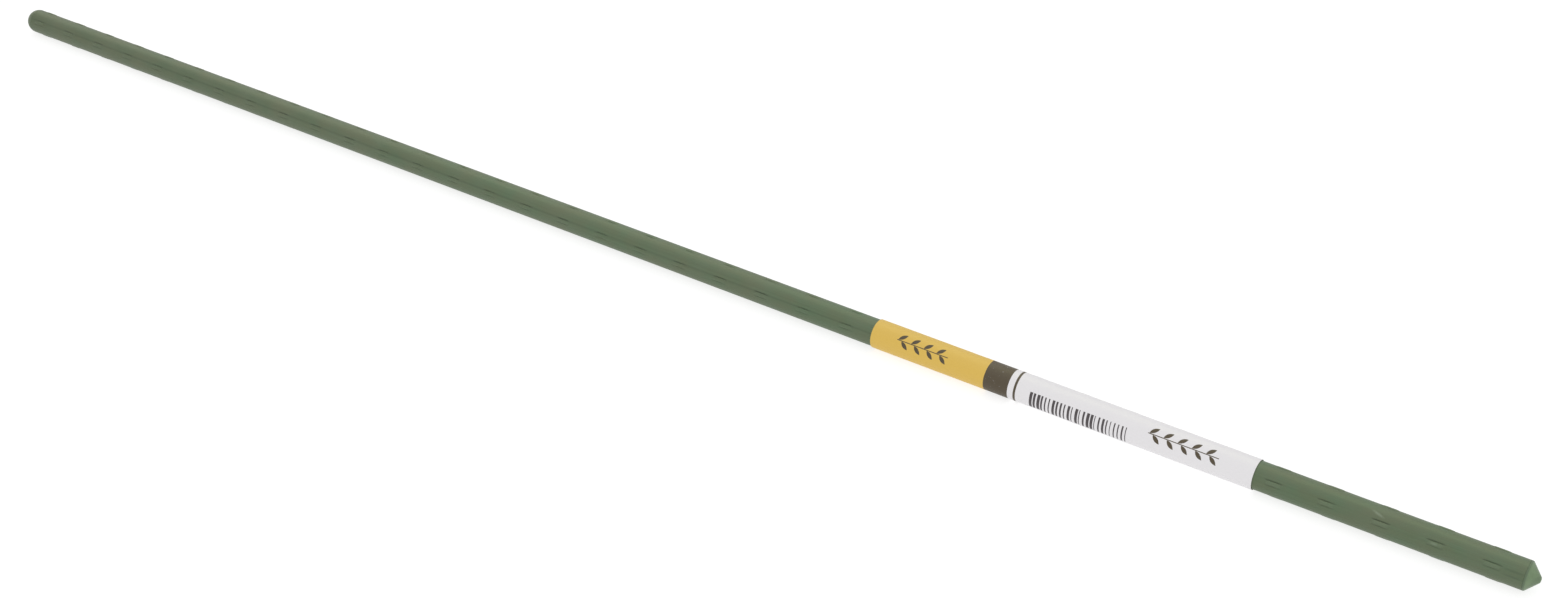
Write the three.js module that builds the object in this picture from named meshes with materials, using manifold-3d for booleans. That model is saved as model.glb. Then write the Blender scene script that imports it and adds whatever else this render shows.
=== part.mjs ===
// A garden plant stake, lying on the ground with its point towards +X.
// A thin steel tube is sheathed in green polyethylene with rows of raised nubs that stop a tie from sliding.
// A domed cap and a blunt point are pressed into the ends of the tube, and a paper label is wound round
// the coating near the point. Millimetres, +Z up. The origin is on the ground under the stake's middle.

import * as THREE from "three";
import { mergeVertices } from "three/addons/utils/BufferGeometryUtils.js";
import Module from "manifold-3d";

// Whole stake, from the crown of the cap to the end of the point
const STAKE_LENGTH = 609.6;

// Steel tube, cut to length together with its coating
const TUBE_DIAMETER = 8.0;
const TUBE_WALL = 0.4;

// Polyethylene coating
const COATING_THICKNESS = 0.45;
const BOND_CLEARANCE = 0.05;

// Grip nubs: rows along the stake, the even rows facing the front and back, the odd rows set on a little
const NUB_ROWS = 4;
const NUB_PITCH = 16.31;
const NUB_LENGTH = 5.3;
const NUB_WIDTH = 1.4;
const NUB_CREST_WIDTH = 0.85;
const NUB_HEIGHT = 0.2;
const NUB_EMBED = 0.03;
const NUB_END_SIDES = 6;
const NUB_END_ROOM = 5.1;
const NUB_ROW_STAGGER = 0.8;
const NUB_ROW_ANGLE = THREE.MathUtils.degToRad(61);
const NUB_ROW_TWIST = THREE.MathUtils.degToRad(14);

// End plugs: the nose of each, and the barbed spigot that both have
const CAP_HEIGHT = 4.2;
const TIP_LENGTH = 3.9;
const TIP_RIM = 0.4;
const TIP_SHOULDER_ROUNDING = 0.3;
const TIP_END_DIAMETER = 1.8;
const TIP_END_ROUNDING = 0.5;
const SEAT_CLEARANCE = 0.05;
const SPIGOT_CLEARANCE = 0.06;
const BARB_COUNT = 3;
const BARB_HEIGHT = 0.5;
const BARB_PITCH = 3.2;
const BARB_RAMP = 2.2;
const SPIGOT_NECK = 1.6;
const SPIGOT_LEAD_IN = 0.8;
const SPIGOT_WALL = 1.3;

// Paper label
const LABEL_LENGTH = 130.75;
const LABEL_TO_POINT = 80.7;
const LABEL_PAPER = 0.12;
const LABEL_LAP = 5.0;
const LABEL_CLEARANCE = 0.03;
const LABEL_GLUE = 0.03;
const LABEL_SEAM_ANGLE = THREE.MathUtils.degToRad(219.375);

// Roundness: every round piece has this many flats, one of them facing straight down
const ROUND_SIDES = 32;
const DOME_STEPS = 8;
const ROUNDING_STEPS = 3;
const SIDE_ANGLE = (2 * Math.PI) / ROUND_SIDES;
const FLAT_SHARE = Math.cos(SIDE_ANGLE / 2);

// Sizes that neighbouring pieces share. Distances along the stake run from the crown of the cap.
const tubeRadius = TUBE_DIAMETER / 2;
const boreRadius = tubeRadius - TUBE_WALL;
const coatingBoreRadius = tubeRadius + BOND_CLEARANCE;
const bodyRadius = coatingBoreRadius + COATING_THICKNESS;
const nubCrestRadius = bodyRadius + NUB_HEIGHT;
const tubeStart = CAP_HEIGHT + SEAT_CLEARANCE;
const tipSeat = STAKE_LENGTH - TIP_LENGTH;
const tubeEnd = tipSeat - SEAT_CLEARANCE;
const nubCrestCorner = Math.hypot(nubCrestRadius, NUB_CREST_WIDTH / 2);
const labelInnerRadius = nubCrestCorner / FLAT_SHARE + LABEL_CLEARANCE;
const axisHeight = (labelInnerRadius + LABEL_PAPER) * FLAT_SHARE;

const wasm = await Module();
wasm.setup();

// A closed geometry as a solid that can be joined to others.
function solidFrom(geometry) {
  const bare = geometry.clone();
  bare.deleteAttribute("normal");
  bare.deleteAttribute("uv");
  const merged = mergeVertices(bare);
  return new wasm.Manifold(
    new wasm.Mesh({
      numProp: 3,
      vertProperties: merged.attributes.position.array,
      triVerts: new Uint32Array(merged.index.array),
    }),
  );
}

function geometryFrom(solid) {
  const { vertProperties, triVerts } = solid.getMesh();
  const geometry = new THREE.BufferGeometry();
  geometry.setAttribute("position", new THREE.BufferAttribute(vertProperties, 3));
  geometry.setIndex(new THREE.BufferAttribute(triVerts, 1));
  geometry.computeVertexNormals();
  return geometry;
}

// A round piece turned about the stake's axis, from points of [radius, distance along the stake].
function turned(profile) {
  const points = profile.map(([radius, along]) => new THREE.Vector2(radius, along));
  return new THREE.LatheGeometry(points, ROUND_SIDES, SIDE_ANGLE / 2).rotateZ(-Math.PI / 2);
}

function sleeve(innerRadius, outerRadius) {
  return turned([
    [innerRadius, tubeStart],
    [outerRadius, tubeStart],
    [outerRadius, tubeEnd],
    [innerRadius, tubeEnd],
    [innerRadius, tubeStart],
  ]);
}

// How far a nub's root lies below the coating's top line, so that its long edges sink into the round of the
// coating, and how wide the leaning flanks have grown there.
const nubEdgeDrop = bodyRadius - FLAT_SHARE * Math.sqrt(bodyRadius ** 2 - (NUB_WIDTH / 2) ** 2);
const nubRoot = nubEdgeDrop + NUB_EMBED;
const nubRootWidth = NUB_WIDTH + ((NUB_WIDTH - NUB_CREST_WIDTH) * nubRoot) / NUB_HEIGHT;

// One nub: a straight ridge with pointed ends, whose flanks lean in from the coating to a narrower crest.
// It is the hull of two tapered posts. It lies along X and stands up along Z at the top of the coating.
function nub() {
  const cornerShare = 1 / Math.cos(Math.PI / NUB_END_SIDES);
  const crest = (NUB_CREST_WIDTH / 2) * cornerShare;
  const root = (nubRootWidth / 2) * cornerShare;
  const height = NUB_HEIGHT + nubRoot;
  const post = new THREE.CylinderGeometry(crest, root, height, NUB_END_SIDES)
    .rotateY(Math.PI / 2)
    .rotateX(Math.PI / 2)
    .translate(0, 0, nubCrestRadius - height / 2);
  const reach = (NUB_LENGTH - NUB_WIDTH * cornerShare) / 2;
  return wasm.Manifold.hull([-reach, reach].map((place) => solidFrom(post.clone().translate(place, 0, 0))));
}

// How far the coating, and the rows with it, is twisted round: nothing at its ends and most at mid-length.
function twistAt(along) {
  return NUB_ROW_TWIST * (1 - Math.abs((2 * along) / STAKE_LENGTH - 1));
}

// The coating: a plain sleeve joined to its rows of nubs. A row starts close to the cap and holds as many
// nubs as fit before the point.
function plasticCoating() {
  const firstNub = tubeStart + NUB_END_ROOM;
  const lastNub = tubeEnd - NUB_END_ROOM - NUB_ROW_STAGGER;
  const nubsPerRow = Math.floor((lastNub - firstNub) / NUB_PITCH) + 1;
  const ridge = nub();
  let coating = solidFrom(sleeve(coatingBoreRadius, bodyRadius));
  for (let row = 0; row < NUB_ROWS; row++) {
    const turn = NUB_ROW_ANGLE + (row * 2 * Math.PI) / NUB_ROWS;
    const stagger = row % 2 ? NUB_ROW_STAGGER : 0;
    for (let place = 0; place < nubsPerRow; place++) {
      const along = firstNub + stagger + place * NUB_PITCH;
      const degrees = THREE.MathUtils.radToDeg(turn + twistAt(along));
      coating = coating.add(ridge.rotate([degrees, 0, 0]).translate([along, 0, 0]));
    }
  }
  return geometryFrom(coating);
}

// The part of a plug that is pressed into the tube, as points of [radius, depth below the shoulder]. Each
// barb has a steep back and a long ramp. A hole in the inner end leaves an even wall to mould.
function spigotProfile() {
  const crestRadius = boreRadius - SPIGOT_CLEARANCE;
  const coreRadius = crestRadius - BARB_HEIGHT;
  const holeRadius = coreRadius - SPIGOT_WALL;
  const length = SPIGOT_NECK + BARB_COUNT * BARB_PITCH + SPIGOT_LEAD_IN;
  const profile = [[coreRadius, 0]];
  for (let barb = 0; barb < BARB_COUNT; barb++) {
    const back = SPIGOT_NECK + barb * BARB_PITCH;
    profile.push([coreRadius, back], [crestRadius, back], [coreRadius, back + BARB_RAMP]);
  }
  profile.push([coreRadius, length - SPIGOT_LEAD_IN]);
  profile.push([coreRadius - SPIGOT_LEAD_IN, length]);
  profile.push([holeRadius, length], [holeRadius, SPIGOT_NECK], [0, SPIGOT_NECK]);
  return profile;
}

// The cap: a dome a little flatter than a half ball, flush with the coating.
function topCap() {
  const dome = [];
  for (let step = 0; step <= DOME_STEPS; step++) {
    const rise = (step / DOME_STEPS) * (Math.PI / 2);
    dome.push([bodyRadius * Math.sin(rise), CAP_HEIGHT * (1 - Math.cos(rise))]);
  }
  const spigot = spigotProfile().map(([radius, depth]) => [radius, CAP_HEIGHT + depth]);
  return turned([...dome, ...spigot]);
}

// The points of a profile's corner, rounded over by the same distance on both its sides.
function roundedCorner(before, corner, after, rounding) {
  const start = before.clone().sub(corner).setLength(rounding).add(corner);
  const end = after.clone().sub(corner).setLength(rounding).add(corner);
  const curve = new THREE.QuadraticBezierCurve(start, corner, end);
  return curve.getPoints(ROUNDING_STEPS).map((point) => point.toArray());
}

// The point: a narrow rim flush with the coating, a soft shoulder, then a short cone with its end rounded
// over to a small flat land.
function groundTip() {
  const seat = new THREE.Vector2(bodyRadius, tipSeat);
  const shoulder = new THREE.Vector2(bodyRadius, tipSeat + TIP_RIM);
  const landEdge = new THREE.Vector2(TIP_END_DIAMETER / 2, STAKE_LENGTH);
  const landMiddle = new THREE.Vector2(0, STAKE_LENGTH);
  const spigot = spigotProfile().map(([radius, depth]) => [radius, tipSeat - depth]);
  return turned([
    ...spigot.reverse(),
    seat.toArray(),
    ...roundedCorner(seat, shoulder, landEdge, TIP_SHOULDER_ROUNDING),
    ...roundedCorner(shoulder, landEdge, landMiddle, TIP_END_ROUNDING),
    landMiddle.toArray(),
  ]);
}

// The label: a strip of paper wound once round the nubs, its last stretch climbing over its start and
// glued down on it. The section is drawn in the XY plane and then swept along the stake.
function labelWrap() {
  const outerRadius = labelInnerRadius + LABEL_PAPER;
  const lapAngle = LABEL_LAP / outerRadius;
  const climb = LABEL_PAPER + LABEL_GLUE;
  const climbStart = 2 * Math.PI - 2 * SIDE_ANGLE;
  const lastStep = Math.ceil((2 * Math.PI + lapAngle) / SIDE_ANGLE);
  const inner = [];
  const outer = [];
  for (let step = 0; step <= lastStep; step++) {
    const wound = Math.min(step * SIDE_ANGLE, 2 * Math.PI + lapAngle);
    const climbed = THREE.MathUtils.clamp((wound - climbStart) / (2 * Math.PI - climbStart), 0, 1);
    const radius = labelInnerRadius + climb * climbed;
    const turn = LABEL_SEAM_ANGLE + wound;
    const direction = new THREE.Vector2(-Math.cos(turn), -Math.sin(turn));
    inner.push(direction.clone().multiplyScalar(radius));
    outer.push(direction.clone().multiplyScalar(radius + LABEL_PAPER));
  }
  const section = new THREE.Shape([...inner, ...outer.reverse()]);
  const labelStart = tubeEnd - LABEL_TO_POINT - LABEL_LENGTH;
  return new THREE.ExtrudeGeometry(section, { depth: LABEL_LENGTH, bevelEnabled: false })
    .rotateY(Math.PI / 2)
    .translate(labelStart, 0, 0);
}

function piece(name, geometry, color, roughness, metalness) {
  const material = new THREE.MeshStandardMaterial({ color, roughness, metalness });
  const mesh = new THREE.Mesh(geometry, material);
  mesh.name = name;
  return mesh;
}

const stake = new THREE.Group();
stake.name = "plant_stake";
stake.position.set(-STAKE_LENGTH / 2, 0, axisHeight);
stake.add(
  piece("steel_tube", sleeve(boreRadius, tubeRadius), 0x9a9c9e, 0.35, 1.0),
  piece("plastic_coating", plasticCoating(), 0x647259, 0.55, 0.0),
  piece("top_cap", topCap(), 0x6b7a5c, 0.5, 0.0),
  piece("ground_tip", groundTip(), 0x76876b, 0.5, 0.0),
  piece("label_wrap", labelWrap(), 0xe8e6e6, 0.6, 0.0),
);

const part = new THREE.Group();
part.add(stake);

export default part;
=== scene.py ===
import math

import bmesh
import bpy
from mathutils import Matrix, Vector


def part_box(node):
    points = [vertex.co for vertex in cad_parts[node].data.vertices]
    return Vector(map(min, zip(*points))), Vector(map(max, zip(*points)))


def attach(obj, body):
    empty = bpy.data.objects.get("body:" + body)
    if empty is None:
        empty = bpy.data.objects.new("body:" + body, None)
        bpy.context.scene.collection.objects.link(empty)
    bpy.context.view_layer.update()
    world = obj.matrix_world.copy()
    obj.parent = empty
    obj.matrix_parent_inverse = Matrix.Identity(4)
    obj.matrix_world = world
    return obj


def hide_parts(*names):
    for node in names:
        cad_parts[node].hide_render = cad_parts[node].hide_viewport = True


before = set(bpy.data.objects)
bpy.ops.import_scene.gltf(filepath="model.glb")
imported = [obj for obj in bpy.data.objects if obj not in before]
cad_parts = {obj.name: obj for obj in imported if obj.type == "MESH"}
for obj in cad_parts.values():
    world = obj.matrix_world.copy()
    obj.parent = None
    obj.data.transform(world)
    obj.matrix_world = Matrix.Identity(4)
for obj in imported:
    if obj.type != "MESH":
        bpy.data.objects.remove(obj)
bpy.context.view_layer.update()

# Steel tube
# A strip of mild steel, rolled round, seam welded and drawn to size, then cut to length. It carries the
# load and stays hidden inside the coating, so its CAD solid is kept and only gets a finish of drawn steel.
MM = 0.001
tube_low, tube_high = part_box("steel_tube")
axis_height = (tube_low.z + tube_high.z) / 2


def linear(code):
    """The linear colour, with full alpha, of an sRGB hex code."""
    shares = [int(code[place:place + 2], 16) / 255 for place in (1, 3, 5)]
    return [s / 12.92 if s <= 0.04045 else ((s + 0.055) / 1.055) ** 2.4 for s in shares] + [1.0]


def new_material(name):
    """A material with an empty node tree, and that tree."""
    material = bpy.data.materials.new(name)
    material.use_nodes = True
    material.node_tree.nodes.clear()
    return material, material.node_tree


def add_node(tree, kind, inputs=(), **settings):
    """Adds a node with its settings. Its inputs are a list in socket order, or a dict by socket name, of
    values to set and of nodes or outputs to link."""
    node = tree.nodes.new(kind)
    for name, value in settings.items():
        setattr(node, name, value)
    in_use = [socket for socket in node.inputs if socket.enabled]
    for key, value in inputs.items() if isinstance(inputs, dict) else enumerate(inputs):
        socket = node.inputs[key] if isinstance(key, str) else in_use[key]
        if isinstance(value, bpy.types.Node):
            value = next(output for output in value.outputs if output.enabled)
        if isinstance(value, bpy.types.NodeSocket):
            tree.links.new(value, socket)
        else:
            socket.default_value = value
    return node


def streaks(tree, place, width, length, detail):
    """A noise of streaks of a width and a length that run along the stake."""
    drawn_out = add_node(tree, "ShaderNodeMapping", {"Vector": place, "Scale": (width / length, 1, 1)})
    return add_node(tree, "ShaderNodeTexNoise", {
        "Vector": drawn_out, "Scale": 1 / width, "Detail": detail})


def drawn_steel():
    """Drawn mild steel: a soft grey metal whose fine lines along the tube smear what it reflects."""
    line_width = 0.15 * MM
    line_length = 20 * MM
    line_depth = 0.01 * MM
    material, tree = new_material("drawn_mild_steel")
    place = add_node(tree, "ShaderNodeTexCoord").outputs["Object"]
    lines = streaks(tree, place, line_width, line_length, detail=3.0)
    grey = add_node(tree, "ShaderNodeMix", [
        lines, linear("#8b8a87"), linear("#a9a8a4")], data_type="RGBA")
    polish = add_node(tree, "ShaderNodeMapRange", {"Value": lines, "To Min": 0.3, "To Max": 0.48})
    relief = add_node(tree, "ShaderNodeBump", {"Height": lines, "Strength": 0.15, "Distance": line_depth})
    shader = add_node(tree, "ShaderNodeBsdfPrincipled", {
        "Base Color": grey, "Metallic": 1.0, "Roughness": polish, "Normal": relief})
    add_node(tree, "ShaderNodeOutputMaterial", {"Surface": shader})
    return material


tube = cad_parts["steel_tube"]
tube.data.materials.clear()
tube.data.materials.append(drawn_steel())

# Plastic coating
# Green polyethylene, extruded over the tube as it leaves the mill. While it is soft, toothed rollers pinch
# it into four rows of short nubs, with a dent along both sides of each, that stop a plant tie from sliding.
coating_low, coating_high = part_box("plastic_coating")
coating_start = coating_low.x
coating_end = coating_high.x
coating_radius = 4.5 * MM
coating_bore = 4.05 * MM
polyethylene_ior = 1.51
nub_rows = 4
nub_pitch = 16.31 * MM
nub_length = 5.3 * MM
nub_width = 1.4 * MM
nub_height = 0.16 * MM
nub_fullness = 4
nub_steps = 9
first_nub = 5.1 * MM
row_stagger = 0.8 * MM
row_angle = 2 * math.pi / nub_rows
row_twist = math.radians(14)
end_row = math.radians(61)
middle_row = end_row + row_twist
dent_length = 6.2 * MM
dent_width = 0.8 * MM
dent_fullness = 6
upper_dent = 0.2 * MM
upper_dent_offset = 0.74 * MM
upper_dent_steps = 4
lower_dent = 0.12 * MM
lower_dent_offset = 0.8 * MM
lower_dent_steps = 3
crease_angle = math.radians(30)
near = 0.001 * MM


def start_ring(name, along, radius, sides, turn):
    """Starts a piece as a ring of edges round the stake's axis and leaves it in edit mode, all selected."""
    bpy.ops.object.select_all(action="DESELECT")
    bpy.ops.mesh.primitive_circle_add(
        vertices=sides, radius=radius, location=(along, 0, axis_height),
        rotation=(math.pi / 2, turn, math.pi / 2))
    piece = bpy.context.object
    piece.name = name
    piece.data.name = name
    bpy.ops.object.transform_apply(location=True, rotation=True, scale=True)
    bpy.ops.object.mode_set(mode="EDIT")
    bpy.ops.mesh.select_all(action="SELECT")
    return piece


def widen(factor):
    """Scales what is selected away from the stake's axis."""
    bpy.ops.transform.resize(value=(1, factor, factor), center_override=(0, 0, axis_height))


def extrude_along(distance, factor=1.0):
    """Extrudes what is selected along the stake, then widens or narrows it."""
    bpy.ops.mesh.extrude_region_move(TRANSFORM_OT_translate={"value": (distance, 0, 0)})
    if factor != 1.0:
        widen(factor)


def select_where(piece, test):
    """Selects the vertices whose place passes a test, with the edges and faces between them."""
    shape = bmesh.from_edit_mesh(piece.data)
    for vertex in shape.verts:
        vertex.select_set(test(vertex.co))
    shape.select_flush_mode()
    bmesh.update_edit_mesh(piece.data)


def turn_from_top(place):
    """The angle of a place round the stake, from straight up towards the front."""
    return math.atan2(-place.y, place.z - axis_height)


def from_nearest_nub(place, twisted_back=0.0):
    """How far a place is from the middle of the nearest nub, along the stake and round it, where the rows
    are twisted back by an angle."""
    turn = turn_from_top(place) - middle_row + twisted_back
    row = round(turn / row_angle)
    along = place.x - coating_start - first_nub - row_stagger * (row % 2)
    along -= nub_pitch * round(along / nub_pitch)
    return along, (turn - row * row_angle) * coating_radius


def lens(along, across, length, width, fullness):
    """0 in the middle of a slender lens, 1 on its outline and more outside it. A fuller one has straighter
    sides and blunter ends."""
    return abs(2 * along / length) ** fullness + abs(2 * across / width)


def raise_steps(piece, height, steps, outline, reach):
    """Raises a form out of a piece, or sinks one into it, a step at a time. outline(place) is 1 on the edge
    of the form, and reach(share) is how much of it is left at a share of its height."""
    for step in range(steps):
        left = reach((step + 0.5) / steps)
        select_where(piece, lambda place: outline(place) < left)
        widen(1 + height / steps / coating_radius)


def close_piece(piece, material, node):
    """Turns the faces outwards, leaves edit mode, smooths, and seats the piece in the frame."""
    bpy.ops.mesh.select_all(action="SELECT")
    bpy.ops.mesh.normals_make_consistent(inside=False)
    bpy.ops.object.mode_set(mode="OBJECT")
    bpy.ops.object.shade_smooth_by_angle(angle=crease_angle)
    piece.data.materials.append(material)
    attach(piece, "root")
    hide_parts(node)


def extruded_green(tree, place, along, lines, patches):
    """The plastic's colour: a grey green with faint lines along it, darker and greyer towards the cap, and
    with dust and faint warm stains in patches."""
    grey_length = 260 * MM
    stain_width = 4 * MM
    stain_length = 9 * MM
    green = add_node(tree, "ShaderNodeMix", [
        lines, linear("#4a5e41"), linear("#597051")], data_type="RGBA")
    greyed = add_node(tree, "ShaderNodeMapRange", {
        "Value": along, "From Min": coating_start, "From Max": coating_start + grey_length,
        "To Min": 0.7, "To Max": 0.0})
    green = add_node(tree, "ShaderNodeMix", [greyed, green, linear("#4b573c")], data_type="RGBA")
    dusty = add_node(tree, "ShaderNodeMapRange", {
        "Value": patches, "From Min": 0.38, "From Max": 0.64, "To Min": 0.0, "To Max": 0.5})
    green = add_node(tree, "ShaderNodeMix", [dusty, green, linear("#5f6951")], data_type="RGBA")
    stains = streaks(tree, place, stain_width, stain_length, detail=2.0)
    stained = add_node(tree, "ShaderNodeMapRange", {
        "Value": stains, "From Min": 0.35, "From Max": 0.65, "To Min": 0.0, "To Max": 0.3})
    return add_node(tree, "ShaderNodeMix", [stained, green, linear("#605f41")], data_type="RGBA")


def nub_crest_highlight_and_wear(tree, along, radius):
    """How far the nubs are painted paler: on their crests only, and more towards the point. It is a painted
    highlight with some wear.
    """
    crest_paling_start = 0.08 * MM
    paler_towards_point = add_node(tree, "ShaderNodeMapRange", {
        "Value": along, "From Min": 0.0, "From Max": coating_end, "To Min": 0.02, "To Max": 0.2})
    return add_node(tree, "ShaderNodeMapRange", {
        "Value": radius, "From Min": coating_radius + crest_paling_start, "From Max": coating_radius + nub_height,
        "To Min": 0.0, "To Max": paler_towards_point})


def dent_shade_and_grime(tree, radius, patches):
    """How dark the dents are painted, as painted shade with some grime: more the deeper they are, and in
    some more than in others.
    """
    darkening_start = 0.02 * MM
    depth = add_node(tree, "ShaderNodeMapRange", {
        "Value": radius, "From Min": coating_radius - upper_dent, "From Max": coating_radius - darkening_start,
        "To Min": 1.0, "To Max": 0.0})
    unevenness = add_node(tree, "ShaderNodeMapRange", {
        "Value": patches, "From Min": 0.3, "From Max": 0.7, "To Min": 0.45, "To Max": 0.85})
    return add_node(tree, "ShaderNodeMath", [depth, unevenness], operation="MULTIPLY")


def track_grime(tree, along, from_axis):
    """How much grime lies along the faint track of each roller, which fades out under the label. A track is
    found by its turn round the stake, with the twist of the rows taken out."""
    track_width = 1.3 * MM
    track_fade_start = 390 * MM
    track_fade_end = 520 * MM
    track_turn = middle_row - upper_dent_offset / coating_radius
    sides = add_node(tree, "ShaderNodeSeparateXYZ", [from_axis])
    turn = add_node(tree, "ShaderNodeMath", [
        sides.outputs["Y"], sides.outputs["Z"]], operation="ARCTAN2")
    from_middle = add_node(tree, "ShaderNodeMath", [along], operation="ABSOLUTE")
    turn = add_node(tree, "ShaderNodeMath", [
        from_middle, row_twist / coating_end, turn], operation="MULTIPLY_ADD")
    turn = add_node(tree, "ShaderNodeMath", [
        turn, track_turn + row_angle / 2, track_turn - row_angle / 2], operation="WRAP")
    turn = add_node(tree, "ShaderNodeMath", [turn, track_turn], operation="SUBTRACT")
    from_track = add_node(tree, "ShaderNodeMath", [turn], operation="ABSOLUTE")
    fading = add_node(tree, "ShaderNodeMapRange", {
        "Value": along, "From Min": coating_start + track_fade_start,
        "From Max": coating_start + track_fade_end, "To Min": 0.23, "To Max": 0.0})
    return add_node(tree, "ShaderNodeMapRange", {
        "Value": from_track, "From Min": 0.0, "From Max": track_width / 2 / coating_radius,
        "To Min": fading, "To Max": 0.0}, interpolation_type="SMOOTHSTEP")


def smear(tree, place, along, turn, slant, length, width):
    """1 in the middle of a long smear, fading to 0 at its edge. It lies at a distance from the coating's
    start and at an angle from the top, and slants across the stake by an angle."""
    round_stake = Matrix.Rotation(turn, 3, "X")
    middle = Vector((coating_start + along, 0, axis_height))
    middle += round_stake @ Vector((0, 0, coating_radius))
    way = round_stake @ Matrix.Rotation(-slant, 3, "Z")
    own = add_node(tree, "ShaderNodeMapping", {
        "Vector": place, "Location": middle, "Rotation": way.to_euler(),
        "Scale": (length / 2, width / 2, width / 2)}, vector_type="TEXTURE")
    away = add_node(tree, "ShaderNodeVectorMath", [own], operation="LENGTH").outputs["Value"]
    return add_node(tree, "ShaderNodeMapRange", {
        "Value": away, "From Min": 0.3, "From Max": 1.0, "To Min": 1.0, "To Max": 0.0})


def end_dark_lines(tree, place):
    """How dark the two lines are that run on from the front row's last nub to the cut end."""
    upper_turn = math.radians(55.4)
    lower_turn = math.radians(76.4)
    line_darkness = 0.28
    upper_line, lower_line = [
        smear(tree, place, along=598.6 * MM, turn=turn, slant=0, length=9 * MM, width=1.0 * MM)
        for turn in (upper_turn, lower_turn)]
    both = add_node(tree, "ShaderNodeMath", [upper_line, lower_line], operation="MAXIMUM")
    return add_node(tree, "ShaderNodeMath", [both, line_darkness], operation="MULTIPLY")


def scuffs(tree, place):
    """1 in the middle of two scuffs near the point, a long and a short one, fading to 0 at their edges."""
    long_scuff = smear(
        tree, place, along=558.2 * MM, turn=math.radians(30), slant=math.radians(18),
        length=5.2 * MM, width=1.1 * MM)
    short_scuff = smear(
        tree, place, along=575.6 * MM, turn=math.radians(62), slant=0, length=2.6 * MM, width=0.8 * MM)
    return add_node(tree, "ShaderNodeMath", [long_scuff, short_scuff], operation="MAXIMUM")


def extruded_polyethylene():
    """Extruded polyethylene: a satin grey green with faint lines along it from the die, a little paler on
    the nub crests, as a painted highlight with some wear, and in two scuffs near the point, and dark where
    the
    rollers pressed: painted shade with some grime in the dents, grime along the tracks, and dark lines at
    the point end."""
    line_width = 0.5 * MM
    line_length = 70 * MM
    line_depth = 0.03 * MM
    patch_size = 14 * MM
    grain_size = 0.25 * MM
    grain_depth = 0.02 * MM
    material, tree = new_material("extruded_polyethylene")
    place = add_node(tree, "ShaderNodeTexCoord").outputs["Object"]
    lines = streaks(tree, place, line_width, line_length, detail=2.0)
    patches = add_node(tree, "ShaderNodeTexNoise", {
        "Vector": place, "Scale": 1 / patch_size, "Detail": 3.0})
    grain = add_node(tree, "ShaderNodeTexNoise", {
        "Vector": place, "Scale": 1 / grain_size, "Detail": 2.0})
    along = add_node(tree, "ShaderNodeSeparateXYZ", [place]).outputs["X"]
    from_axis = add_node(tree, "ShaderNodeMapping", {
        "Vector": place, "Location": (0, 0, -axis_height), "Scale": (0, -1, 1)})
    radius = add_node(tree, "ShaderNodeVectorMath", [from_axis], operation="LENGTH").outputs["Value"]

    paling = nub_crest_highlight_and_wear(tree, along, radius)
    shade_and_grime = dent_shade_and_grime(tree, radius, patches)
    for more_dark_marks in (track_grime(tree, along, from_axis), end_dark_lines(tree, place)):
        shade_and_grime = add_node(tree, "ShaderNodeMath", [shade_and_grime, more_dark_marks], operation="MAXIMUM")
    scuffed = add_node(tree, "ShaderNodeMath", [scuffs(tree, place), grain], operation="MULTIPLY")
    colour = extruded_green(tree, place, along, lines, patches)
    # The nub crests are painted paler, a painted highlight with some wear.
    colour = add_node(tree, "ShaderNodeMix", [paling, colour, linear("#71826a")], data_type="RGBA")
    # The dents are darkened with painted shade and some grime; the tracks take grime, and the point end two
    # dark lines.
    colour = add_node(tree, "ShaderNodeMix", [shade_and_grime, colour, linear("#24361f")], data_type="RGBA")
    colour = add_node(tree, "ShaderNodeMix", [scuffed, colour, linear("#87957e")], data_type="RGBA")
    gloss = add_node(tree, "ShaderNodeMapRange", {"Value": patches, "To Min": 0.42, "To Max": 0.56})
    relief = add_node(tree, "ShaderNodeBump", {"Height": lines, "Strength": 0.25, "Distance": line_depth})
    relief = add_node(tree, "ShaderNodeBump", {
        "Height": grain, "Strength": 0.12, "Distance": grain_depth, "Normal": relief})
    shader = add_node(tree, "ShaderNodeBsdfPrincipled", {
        "Base Color": colour, "Roughness": gloss, "IOR": polyethylene_ior, "Normal": relief})
    add_node(tree, "ShaderNodeOutputMaterial", {"Surface": shader})
    return material


# One pitch of the coating is modelled and then repeated. Its ring has close points on the rows of nubs, and
# the points that the plain stretches between the rows don't need are dissolved.
ring_points = 192
points_per_row = ring_points // nub_rows
row_points = 9
plain_step = 3
point_angle = 2 * math.pi / ring_points


def needless(place):
    """Whether a point of the ring lies between the rows and isn't one of those that are kept there."""
    point = round((turn_from_top(place) - middle_row) / point_angle) % points_per_row
    between = row_points < point < points_per_row - row_points
    return between and (point - row_points) % plain_step != 0


coating = start_ring("plastic_coating_skin", coating_start, coating_radius, ring_points, middle_row)
select_where(coating, needless)
bpy.ops.mesh.dissolve_verts()
bpy.ops.mesh.select_all(action="SELECT")
nub_room = 0.3 * MM
nub_zone_start = first_nub - dent_length / 2 - nub_room
nub_zone = dent_length + row_stagger + 2 * nub_room
nub_rings = 19
plain_rings = 3
extrude_along(nub_zone_start)
for ring in range(nub_rings):
    extrude_along(nub_zone / nub_rings)
for ring in range(plain_rings):
    extrude_along((nub_pitch - nub_zone_start - nub_zone) / plain_rings)


def nub_outline(place):
    """The outline of the nearest nub."""
    along, across = from_nearest_nub(place)
    return lens(along, across, nub_length, nub_width, nub_fullness)


def dent_outline(place, offset):
    """The outline of the dent that lies to one side of the nearest nub."""
    along, across = from_nearest_nub(place)
    return lens(along, across - offset, dent_length, dent_width, dent_fullness)


def round_flank(share):
    """How much of a rounded form is left at a share of its height."""
    return math.sqrt(1 - share * share)


def straight_flank(share):
    """How much of a form with straight flanks is left at a share of its height."""
    return 1 - share


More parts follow.
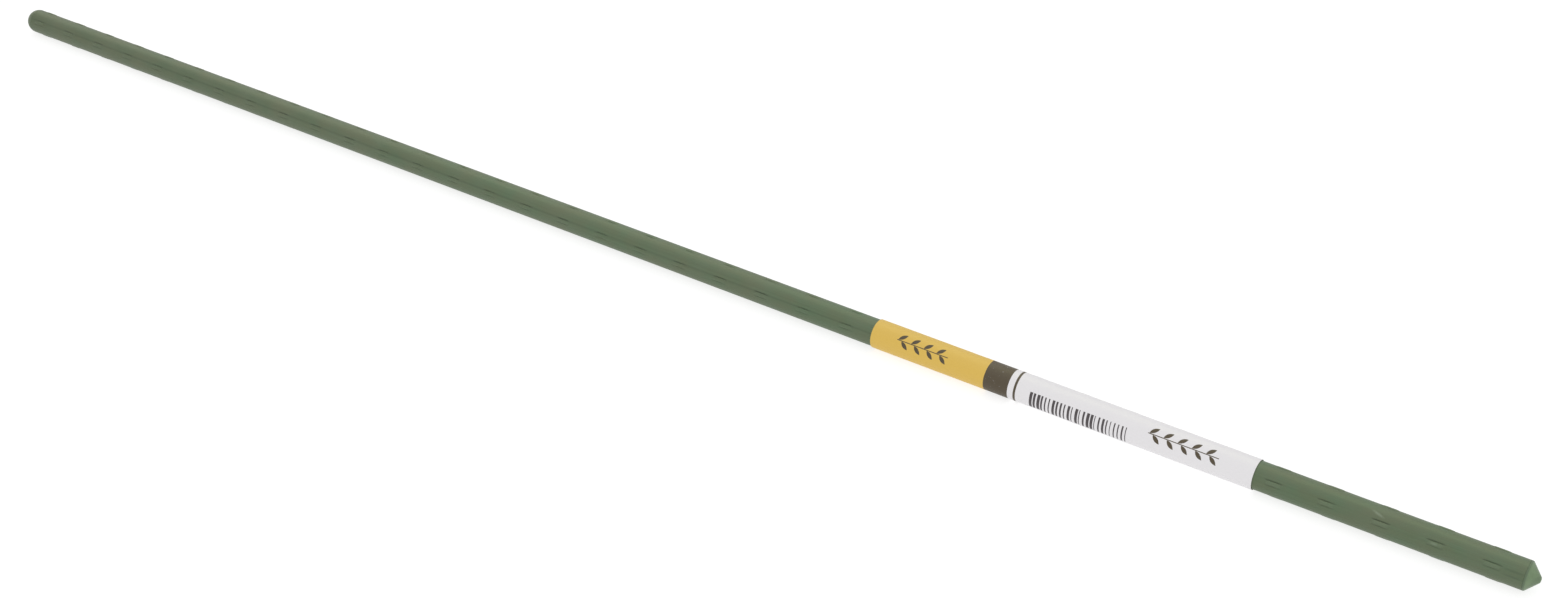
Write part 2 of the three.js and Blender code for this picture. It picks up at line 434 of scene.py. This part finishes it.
raise_steps(coating, nub_height, nub_steps, nub_outline, round_flank)
raise_steps(
    coating, -upper_dent, upper_dent_steps, lambda place: dent_outline(place, -upper_dent_offset),
    straight_flank)
raise_steps(
    coating, -lower_dent, lower_dent_steps, lambda place: dent_outline(place, lower_dent_offset),
    straight_flank)
bpy.ops.object.mode_set(mode="OBJECT")

bpy.ops.object.modifier_add(type="ARRAY")
repeat = coating.modifiers[-1]
repeat.count = math.ceil((coating_end - coating_start) / nub_pitch)
repeat.use_relative_offset = False
repeat.use_constant_offset = True
repeat.constant_offset_displace = (nub_pitch, 0, 0)
repeat.use_merge_vertices = True
repeat.merge_threshold = near
bpy.ops.object.modifier_apply(modifier=repeat.name)

# The coating leaves the mill a little twisted, so both its ends lie back from its middle.
pivot = bpy.data.objects.new("twist_pivot", None)
pivot.location = (0, 0, axis_height)
bpy.context.scene.collection.objects.link(pivot)
for limits, angle in (((0.0, 0.5), row_twist), ((0.5, 1.0), -row_twist)):
    bpy.ops.object.modifier_add(type="SIMPLE_DEFORM")
    twist = coating.modifiers[-1]
    twist.deform_method = "TWIST"
    twist.deform_axis = "X"
    twist.origin = pivot
    twist.limits = limits
    twist.angle = angle
    bpy.ops.object.modifier_apply(modifier=twist.name)
bpy.data.objects.remove(pivot)

# The coating is sawn to length with the tube, which gives it square ends. Its bore runs from end to end.
bpy.ops.object.mode_set(mode="EDIT")
bpy.ops.mesh.select_all(action="SELECT")
bpy.ops.mesh.bisect(plane_co=(coating_end, 0, 0), plane_no=(1, 0, 0), clear_outer=True)
select_where(coating, lambda place: place.x < coating_start + near)
extrude_along(0, coating_bore / coating_radius)
extrude_along(coating_end - coating_start)
select_where(coating, lambda place: place.x > coating_end - near)
bpy.ops.mesh.bridge_edge_loops()
close_piece(coating, extruded_polyethylene(), "plastic_coating")

# Top cap
# A plug moulded in the same green plastic, a little glossier. Its domed head sits flush on the cut end of
# the coating, and its barbed spigot is pressed into the tube.
cap_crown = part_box("top_cap")[0].x
cap_head = 4.2 * MM
cap_seat = cap_crown + cap_head
plug_sides = 64
dome_steps = 14
spigot_crest = 3.54 * MM
barb_height = 0.5 * MM
barb_count = 3
barb_pitch = 3.2 * MM
barb_ramp = 2.2 * MM
spigot_neck = 1.6 * MM
spigot_lead_in = 0.8 * MM
spigot_wall = 1.3 * MM


def spigot(seat, way):
    """The places of a plug's spigot, as (along, radius), from its seat into the tube: a neck, barbs with a
    steep back and a long ramp, a lead-in, and the hole that keeps the moulding's wall even."""
    core = spigot_crest - barb_height
    hole = core - spigot_wall
    depths = [(0, core)]
    for barb in range(barb_count):
        back = spigot_neck + barb * barb_pitch
        depths += [(back, core), (back, spigot_crest), (back + barb_ramp, core)]
    end = spigot_neck + barb_count * barb_pitch + spigot_lead_in
    depths += [(end - spigot_lead_in, core), (end, core - spigot_lead_in), (end, hole), (spigot_neck, hole)]
    return [(seat + way * depth, radius) for depth, radius in depths] + [(seat + way * spigot_neck, 0)]


def turned_piece(name, profile):
    """Makes a closed round piece ring by ring. The profile starts and ends on the axis."""
    (pole, _), (along, radius) = profile[:2]
    piece = start_ring(name, along, radius, plug_sides, 0)
    extrude_along(pole - along)
    bpy.ops.mesh.merge(type="CENTER")
    select_where(piece, lambda place: abs(place.x - along) < near)
    for next_along, next_radius in profile[2:-1]:
        extrude_along(next_along - along, next_radius / radius)
        along, radius = next_along, next_radius
    extrude_along(profile[-1][0] - along)
    bpy.ops.mesh.merge(type="CENTER")
    return piece


def moulded_polyethylene(name, dark, pale, paling=None, paling_from=0.0):
    """Moulded polyethylene: an even satin green with the soft cloudiness and fine orange peel of a small
    mould. It may be painted paler in patches past a place along the stake: a painted highlight with
    some wear."""
    cloud_size = 2.5 * MM
    paling_fade = 0.3 * MM
    peel_size = 0.4 * MM
    peel_depth = 0.03 * MM
    material, tree = new_material(name)
    place = add_node(tree, "ShaderNodeTexCoord").outputs["Object"]
    clouds = add_node(tree, "ShaderNodeTexNoise", {
        "Vector": place, "Scale": 1 / cloud_size, "Detail": 3.0})
    peel = add_node(tree, "ShaderNodeTexNoise", {"Vector": place, "Scale": 1 / peel_size, "Detail": 1.0})
    colour = add_node(tree, "ShaderNodeMix", [clouds, linear(dark), linear(pale)], data_type="RGBA")
    # Paler in patches past a place: a painted highlight with some wear.
    if paling:
        along = add_node(tree, "ShaderNodeSeparateXYZ", [place]).outputs["X"]
        patches = add_node(tree, "ShaderNodeMapRange", {
            "Value": clouds, "From Min": 0.35, "From Max": 0.65, "To Min": 0.5, "To Max": 1.0})
        past = add_node(tree, "ShaderNodeMapRange", {
            "Value": along, "From Min": paling_from, "From Max": paling_from + paling_fade,
            "To Min": 0.0, "To Max": patches})
        colour = add_node(tree, "ShaderNodeMix", [past, colour, linear(paling)], data_type="RGBA")
    gloss = add_node(tree, "ShaderNodeMapRange", {"Value": clouds, "To Min": 0.38, "To Max": 0.5})
    relief = add_node(tree, "ShaderNodeBump", {"Height": peel, "Strength": 0.15, "Distance": peel_depth})
    shader = add_node(tree, "ShaderNodeBsdfPrincipled", {
        "Base Color": colour, "Roughness": gloss, "IOR": polyethylene_ior, "Normal": relief})
    add_node(tree, "ShaderNodeOutputMaterial", {"Surface": shader})
    return material


dome = []
for step in range(dome_steps + 1):
    rise = step / dome_steps * math.pi / 2
    dome.append((cap_crown + cap_head * (1 - math.cos(rise)), coating_radius * math.sin(rise)))
cap = turned_piece("top_cap_moulding", dome + spigot(cap_seat, 1))
cap_plastic = moulded_polyethylene("moulded_polyethylene_cap", "#535f45", "#5b684b")
close_piece(cap, cap_plastic, "top_cap")

# Ground tip
# The plug at the lower end, moulded like the cap. A narrow rim sits flush on the coating, and a short blunt
# cone with a soft shoulder opens the soil. The cone is painted paler in patches, a painted highlight
# with some wear. It is held by the same barbed spigot.
tip_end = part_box("ground_tip")[1].x
tip_height = 3.9 * MM
tip_seat = tip_end - tip_height
tip_rim = 0.4 * MM
shoulder_rounding = 0.3 * MM
tip_end_radius = 0.75 * MM
tip_end_rounding = 0.3 * MM
rounding_steps = 6


def rounded_corner(before, corner, after, rounding):
    """The places of a profile's corner, rounded over by the same distance on both its sides."""
    start = corner + (before - corner).normalized() * rounding
    end = corner + (after - corner).normalized() * rounding
    shares = [step / rounding_steps for step in range(rounding_steps + 1)]
    return [tuple(start.lerp(corner, share).lerp(corner.lerp(end, share), share)) for share in shares]


land_middle = Vector((tip_end, 0))
land_edge = Vector((tip_end, tip_end_radius))
shoulder = Vector((tip_seat + tip_rim, coating_radius))
rim = Vector((tip_seat, coating_radius))
nose = [tuple(land_middle)]
nose += rounded_corner(land_middle, land_edge, shoulder, tip_end_rounding)
nose += rounded_corner(land_edge, shoulder, rim, shoulder_rounding)
nose.append(tuple(rim))
tip = turned_piece("ground_tip_moulding", nose + spigot(tip_seat, -1))
# The cone past the shoulder is painted paler in patches: a painted highlight with some wear.
tip_plastic = moulded_polyethylene(
    "moulded_polyethylene_tip", "#51634a", "#5c7053", paling="#6f8662", paling_from=shoulder.x)
close_piece(tip, tip_plastic, "ground_tip")

# Label
# A strip of coated paper, printed flat, wound once round the coating near the point and glued down on its
# own start at the back. It is drawn tight, so the nubs under it show as low bumps.
label_low, label_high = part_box("label_wrap")
label_length = label_high.x - label_low.x
label_radius = 4.8 * MM
paper_thickness = 0.12 * MM
glue_thickness = 0.03 * MM
lap_length = 5.0 * MM
climb_angle = math.radians(20)
seam_turn = math.radians(219.375)
strip_width = 2 * math.pi * label_radius + lap_length
length_cells = 132
width_cells = 108
bench_height = 0.1
bump_length = nub_length + 2.4 * MM
bump_width = nub_width + 1.8 * MM
bump_height = 0.1 * MM
bump_fullness = 2
bump_steps = 5


def label_paper():
    """Bare label paper: a soft white with a faint fibre, as the strip's back and cut edges show it."""
    fibre_size = 0.2 * MM
    material, tree = new_material("bare_label_paper")
    place = add_node(tree, "ShaderNodeTexCoord").outputs["Object"]
    fibre = add_node(tree, "ShaderNodeTexNoise", {
        "Vector": place, "Scale": 1 / fibre_size, "Detail": 4.0})
    white = add_node(tree, "ShaderNodeMix", [
        fibre, linear("#dedad8"), linear("#efecea")], data_type="RGBA")
    shader = add_node(tree, "ShaderNodeBsdfPrincipled", {"Base Color": white, "Roughness": 0.8})
    add_node(tree, "ShaderNodeOutputMaterial", {"Surface": shader})
    return material


# The print is laid out in millimetres on the flat strip, along it from its end nearer the cap and down it
# from the edge that the winding starts with. Each part of the print is 1 where it has ink and 0 elsewhere.
print_length = label_length / MM
print_width = strip_width / MM
bleed = 1


def block_on_strip(tree, along, down, start, end, top=-bleed, bottom=print_width + bleed):
    """A block of the strip from a start to an end along it. It bleeds over both long edges of the strip,
    unless a top and a bottom are given."""
    half_length = (end - start) / 2
    half_width = (bottom - top) / 2
    in_length = add_node(tree, "ShaderNodeMath", [
        along, start + half_length, half_length], operation="COMPARE")
    in_width = add_node(tree, "ShaderNodeMath", [
        down, top + half_width, half_width], operation="COMPARE")
    return add_node(tree, "ShaderNodeMath", [in_length, in_width], operation="MULTIPLY")


def leaf(tree, sheet, along, down, turn):
    """A pointed leaf with its middle at a place of a sheet, turned by an angle."""
    length = 3.4
    width = 1.3
    own = add_node(tree, "ShaderNodeMapping", {
        "Vector": sheet, "Location": (along, down, 0), "Rotation": (0, 0, turn),
        "Scale": (length / 2, width / 2, 1)}, vector_type="TEXTURE")
    parts = add_node(tree, "ShaderNodeSeparateXYZ", [own])
    side = add_node(tree, "ShaderNodeMath", [parts.outputs["Y"]], operation="ABSOLUTE")
    edge = add_node(tree, "ShaderNodeMath", [
        parts.outputs["X"], parts.outputs["X"], side], operation="MULTIPLY_ADD")
    return add_node(tree, "ShaderNodeMath", [edge, 1.0], operation="LESS_THAN")


def sprigs(tree, strip, along, down):
    """Two sprigs of leaves in pairs on a stem, one sprig on the yellow and one on the white."""
    pair_pitch = 4.6
    stem_line = 15.6
    half_stem = 0.14
    leaf_slant = math.radians(40)
    leaf_offset = 1.25
    upper_leaf_place = 1.7
    lower_leaf_place = 2.9
    yellow_sprig_start = 2 * pair_pitch
    yellow_sprig_end = 6 * pair_pitch
    white_sprig_start = 21 * pair_pitch
    white_sprig_end = 26 * pair_pitch

    # The sheet of one pair repeats along the strip only, so it is wider than the strip.
    sheet_width = 2 * print_width
    sheet = add_node(tree, "ShaderNodeVectorMath", [
        strip, (pair_pitch, sheet_width, 1), (0, 0, -1)], operation="WRAP")
    stem = block_on_strip(
        tree, along, down, yellow_sprig_start, white_sprig_end,
        stem_line - half_stem, stem_line + half_stem)
    upper_leaf = leaf(tree, sheet, upper_leaf_place, stem_line - leaf_offset, -leaf_slant)
    lower_leaf = leaf(tree, sheet, lower_leaf_place, stem_line + leaf_offset, leaf_slant)
    pairs = add_node(tree, "ShaderNodeMath", [stem, upper_leaf], operation="MAXIMUM")
    pairs = add_node(tree, "ShaderNodeMath", [pairs, lower_leaf], operation="MAXIMUM")
    on_yellow = block_on_strip(tree, along, down, yellow_sprig_start, yellow_sprig_end)
    on_white = block_on_strip(tree, along, down, white_sprig_start, white_sprig_end)
    stretches = add_node(tree, "ShaderNodeMath", [on_yellow, on_white], operation="MAXIMUM")
    return add_node(tree, "ShaderNodeMath", [pairs, stretches], operation="MULTIPLY")


def block_of_bars(tree, along, down):
    """A block of bars of chance widths, which are drawn coarser than real ones so that they show."""
    bar_pitch = 1.3
    thinnest = 0.2 * bar_pitch
    thickest = 0.8 * bar_pitch
    block_start = 57
    block_end = 90
    block_top = 16.4
    block_bottom = 22.2
    bar_start = add_node(tree, "ShaderNodeMath", [along, bar_pitch], operation="SNAP")
    chance = add_node(tree, "ShaderNodeTexWhiteNoise", {"W": bar_start}, noise_dimensions="1D")
    bar_width = add_node(tree, "ShaderNodeMapRange", {
        "Value": chance, "To Min": thinnest, "To Max": thickest})
    bars = add_node(tree, "ShaderNodeMath", [along, bar_start], operation="SUBTRACT")
    bars = add_node(tree, "ShaderNodeMath", [bars, bar_width], operation="LESS_THAN")
    block = block_on_strip(tree, along, down, block_start, block_end, block_top, block_bottom)
    return add_node(tree, "ShaderNodeMath", [bars, block], operation="MULTIPLY")


def printed_paper():
    """Coated label paper printed in three inks: a satin white with a faint fibre, a yellow end with a dark
    band and a pin stripe, sprigs of leaves and a block of bars, with specks of the dark ink rubbed off."""
    fibre_size = 0.3 * MM
    fibre_depth = 0.02 * MM
    speck_size = 0.9 * MM
    yellow_start = -bleed
    yellow_end = 41
    band_end = 49.5
    stripe_start = 51.5
    stripe_end = 52.3
    material, tree = new_material("printed_label_paper")
    flat = add_node(tree, "ShaderNodeUVMap", uv_map="UVMap")
    strip = add_node(tree, "ShaderNodeMapping", {
        "Vector": flat, "Location": (0, print_width, 0), "Scale": (print_length, -print_width, 1)})
    parts = add_node(tree, "ShaderNodeSeparateXYZ", [strip])
    along = parts.outputs["X"]
    down = parts.outputs["Y"]
    yellow_field = block_on_strip(tree, along, down, yellow_start, yellow_end)
    dark_band = block_on_strip(tree, along, down, yellow_end, band_end)
    pin_stripe = block_on_strip(tree, along, down, stripe_start, stripe_end)
    dark_print = add_node(tree, "ShaderNodeMath", [dark_band, pin_stripe], operation="MAXIMUM")
    dark_print = add_node(tree, "ShaderNodeMath", [
        dark_print, sprigs(tree, strip, along, down)], operation="MAXIMUM")

    place = add_node(tree, "ShaderNodeTexCoord").outputs["Object"]
    specks = add_node(tree, "ShaderNodeTexNoise", {
        "Vector": place, "Scale": 1 / speck_size, "Detail": 2.0})
    paling = add_node(tree, "ShaderNodeMapRange", {
        "Value": specks, "From Min": 0.68, "From Max": 0.76, "To Min": 1.0, "To Max": 0.6})
    dark_print = add_node(tree, "ShaderNodeMath", [dark_print, paling], operation="MULTIPLY")
    bars = block_of_bars(tree, along, down)

    fibre = add_node(tree, "ShaderNodeTexNoise", {
        "Vector": place, "Scale": 1 / fibre_size, "Detail": 3.0})
    white = add_node(tree, "ShaderNodeMix", [
        fibre, linear("#e7e5e7"), linear("#edebed")], data_type="RGBA")
    yellow = add_node(tree, "ShaderNodeMix", [
        fibre, linear("#dab34c"), linear("#e2be59")], data_type="RGBA")
    colour = add_node(tree, "ShaderNodeMix", [yellow_field, white, yellow], data_type="RGBA")
    colour = add_node(tree, "ShaderNodeMix", [dark_print, colour, linear("#4c412d")], data_type="RGBA")
    colour = add_node(tree, "ShaderNodeMix", [bars, colour, linear("#464042")], data_type="RGBA")
    tooth = add_node(tree, "ShaderNodeBump", {"Height": fibre, "Strength": 0.1, "Distance": fibre_depth})
    shader = add_node(tree, "ShaderNodeBsdfPrincipled", {
        "Base Color": colour, "Roughness": 0.5, "Normal": tooth})
    add_node(tree, "ShaderNodeOutputMaterial", {"Surface": shader})
    return material


def bump_outline(place):
    """The outline of the soft tent that the tight paper makes over a nub."""
    twisted_back = row_twist * abs(place.x) / coating_end
    along, across = from_nearest_nub(place, twisted_back)
    return lens(along, across, bump_length, bump_width, bump_fullness)


def lay_out_for_bake(piece):
    """Gives the label the map that an export bakes its print through: the printed face in two rows, cut
    where the print is plain, over a low row for the back and the edges. This keeps the print sharp and
    without a seam."""
    cells_before_cut = 54
    row_cut = cells_before_cut / length_cells
    row_stretch = 1 / (1 - row_cut)
    row_height = 0.43
    back_height = 0.1
    gap = 0.01
    lower_row = back_height + 2 * gap
    upper_row = back_height + row_height + 3 * gap
    piece.data.uv_layers.new(name="OFBake")
    flat = piece.data.uv_layers["UVMap"].uv
    laid = piece.data.uv_layers["OFBake"].uv
    for face in piece.data.polygons:
        middle = sum(flat[corner].vector.x for corner in face.loop_indices) / face.loop_total
        if face.material_index > 0:
            start, stretch, bottom, height = 0, 1, gap, back_height
        elif middle > row_cut:
            start, stretch, bottom, height = row_cut, row_stretch, lower_row, row_height
        else:
            start, stretch, bottom, height = 0, row_stretch, upper_row, row_height
        for corner in face.loop_indices:
            along, up = flat[corner].vector
            across_map = gap + (along - start) * stretch * (1 - 2 * gap)
            laid[corner].vector = (across_map, bottom + up * height)


# The strip starts flat on a bench above the stake, and is wound on from there a row at a time.
bpy.ops.object.select_all(action="DESELECT")
bpy.ops.mesh.primitive_grid_add(
    x_subdivisions=length_cells, y_subdivisions=width_cells, size=1,
    location=((label_low.x + label_high.x) / 2, -strip_width / 2, bench_height))
label = bpy.context.object
label.name = "label_wrap_paper"
label.data.name = label.name
label.scale = (label_length, strip_width, 1)
bpy.ops.object.transform_apply(location=True, rotation=True, scale=True)
bpy.ops.object.mode_set(mode="EDIT")
climb_start = 2 * math.pi - climb_angle
for row in range(width_cells + 1):
    down = strip_width * row / width_cells
    wound = down / label_radius
    climbed = min(max((wound - climb_start) / climb_angle, 0), 1)
    select_where(label, lambda place: place.z > bench_height - near and abs(place.y + down) < near)
    bpy.ops.transform.translate(value=(0, down, axis_height + label_radius - bench_height))
    bpy.ops.transform.rotate(
        value=-(seam_turn + wound), orient_axis="X", center_override=(0, 0, axis_height))
    widen(1 + climbed * (paper_thickness + glue_thickness) / label_radius)

raise_steps(label, bump_height, bump_steps, bump_outline, straight_flank)
bpy.ops.object.mode_set(mode="OBJECT")
label.data.materials.append(printed_paper())
label.data.materials.append(label_paper())
bpy.ops.object.modifier_add(type="SOLIDIFY")
paper = label.modifiers[-1]
paper.thickness = paper_thickness
paper.offset = -1
paper.material_offset = 1
paper.material_offset_rim = 1
bpy.ops.object.modifier_apply(modifier=paper.name)
bpy.ops.object.shade_smooth_by_angle(angle=crease_angle)
lay_out_for_bake(label)
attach(label, "root")
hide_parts("label_wrap")

# Floor, light and camera
# A sheet of opal acrylic lit from below, which leaves hardly a shadow, in an even white studio with a soft
# box overhead, a strip box behind that only gives a sheen, and the camera of the photograph.
bpy.ops.object.select_all(action="DESELECT")
bpy.ops.mesh.primitive_plane_add(size=60)
floor = bpy.context.object
floor.name = "studio_floor"


def background_level(tree, as_light, as_seen):
    """The strength of a glowing background, as light on the object and where the camera sees it, which is
    also in what is glossy or clear."""
    path = add_node(tree, "ShaderNodeLightPath")
    seen = add_node(tree, "ShaderNodeMath", [
        path.outputs["Is Camera Ray"], path.outputs["Is Glossy Ray"]], operation="MAXIMUM")
    seen = add_node(tree, "ShaderNodeMath", [
        seen, path.outputs["Is Transmission Ray"]], operation="MAXIMUM")
    return add_node(tree, "ShaderNodeMapRange", {"Value": seen, "To Min": as_light, "To Max": as_seen})


def opal_acrylic():
    """Opal acrylic over lamps: an even matt white that glows and still takes a faint shadow."""
    material, tree = new_material("opal_acrylic_light_table")
    acrylic = add_node(tree, "ShaderNodeBsdfDiffuse", {"Color": linear("#9c9c9c")})
    glow = add_node(tree, "ShaderNodeEmission", {
        "Strength": background_level(tree, as_light=0.66, as_seen=0.78)})
    surface = add_node(tree, "ShaderNodeAddShader", [acrylic, glow])
    add_node(tree, "ShaderNodeOutputMaterial", {"Surface": surface})
    return material


floor.data.materials.append(opal_acrylic())

world = bpy.data.worlds.new("white_studio")
world.use_nodes = True
world.node_tree.nodes.clear()
sky = add_node(world.node_tree, "ShaderNodeBackground", {
    "Color": linear("#ffffff"), "Strength": background_level(world.node_tree, as_light=0.8, as_seen=1.0)})
add_node(world.node_tree, "ShaderNodeOutputWorld", {"Surface": sky})
bpy.context.scene.world = world

overhead = bpy.data.lights.new("soft_box_overhead", "SUN")
overhead.energy = 0.3
overhead.angle = math.radians(60)
soft_box = bpy.data.objects.new("soft_box_overhead", overhead)
soft_box.rotation_euler = (math.radians(20), 0, 0)
bpy.context.scene.collection.objects.link(soft_box)

behind = bpy.data.lights.new("strip_box_behind", "AREA")
behind.shape = "RECTANGLE"
behind.size = 3.2
behind.size_y = 0.7
behind.energy = 10.2
behind.color = linear("#f9ffd5")[:3]
strip_box = bpy.data.objects.new("strip_box_behind", behind)
strip_box.location = (-0.65, 0.62, 1.12)
strip_box.rotation_euler = (math.radians(-29), 0, 0)
strip_box.visible_diffuse = False
bpy.context.scene.collection.objects.link(strip_box)

camera_place = (0.38794, -0.51344, axis_height + 0.42323)
camera_view = Vector((-0.45131, 0.68754, -0.56886))
lens_data = bpy.data.cameras.new("camera")
lens_data.lens = 52.59
lens_data.sensor_width = 36.0
camera = bpy.data.objects.new("camera", lens_data)
camera.location = camera_place
camera.rotation_euler = camera_view.to_track_quat("-Z", "Y").to_euler()
bpy.context.scene.collection.objects.link(camera)
bpy.context.scene.camera = camera
bpy.context.scene.view_settings.view_transform = "Standard"
